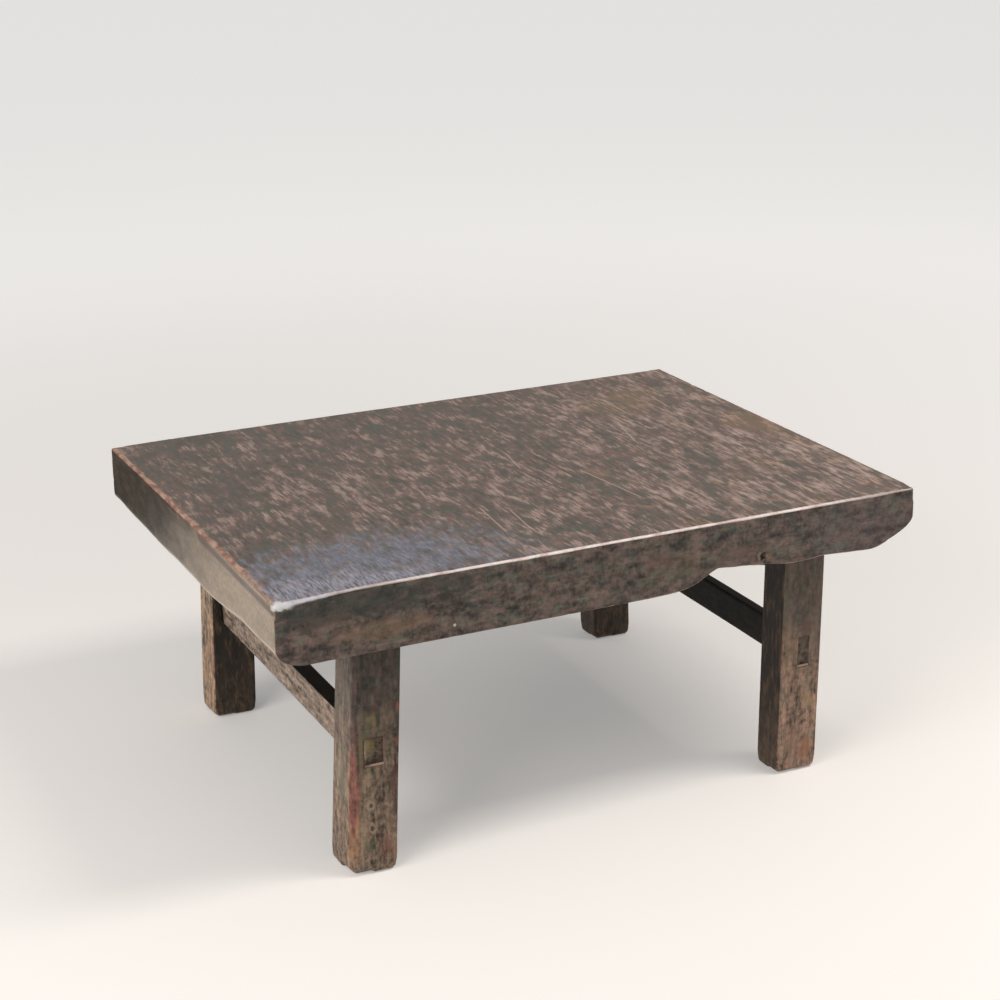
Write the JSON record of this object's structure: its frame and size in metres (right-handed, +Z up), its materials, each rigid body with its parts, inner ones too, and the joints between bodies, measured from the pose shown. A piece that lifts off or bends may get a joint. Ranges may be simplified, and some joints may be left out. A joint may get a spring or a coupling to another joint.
{
  "type": "kang table",
  "caption": "Low rectangular kang table: one thick waney-edged plank on slightly splayed square legs, with a wedged through-tenon stretcher at each short end.",
  "frame": {"origin": "on the floor, under the middle of the plank top", "axes": "+X along the plank's length to the right, +Y to the back, +Z up"},
  "size_m": [0.85, 0.64, 0.383],
  "materials": {
    "lacquered_plank": "worn black lacquer over red-brown elm, rubbed to bare wood along the arrises",
    "lacquered_leg": "worn black lacquer over red-brown elm, rubbed and faded towards the feet",
    "lacquered_rail": "dull worn black lacquer over elm",
    "bare_wedge": "bare hardwood, darkened with age"
  },
  "bodies": {
    "root": {"slab_top": "lacquered_plank", "leg_front_left": "lacquered_leg", "leg_back_left": "lacquered_leg", "leg_front_right": "lacquered_leg", "leg_back_right": "lacquered_leg", "stretcher_left": "lacquered_rail", "stretcher_right": "lacquered_rail", "stretcher_wedge_front_left": "bare_wedge", "stretcher_wedge_back_left": "bare_wedge", "stretcher_wedge_front_right": "bare_wedge", "stretcher_wedge_back_right": "bare_wedge", "leg_wedge_front_left": "bare_wedge", "leg_wedge_back_left": "bare_wedge", "leg_wedge_front_right": "bare_wedge", "leg_wedge_back_right": "bare_wedge"}
  },
  "joints": []
}
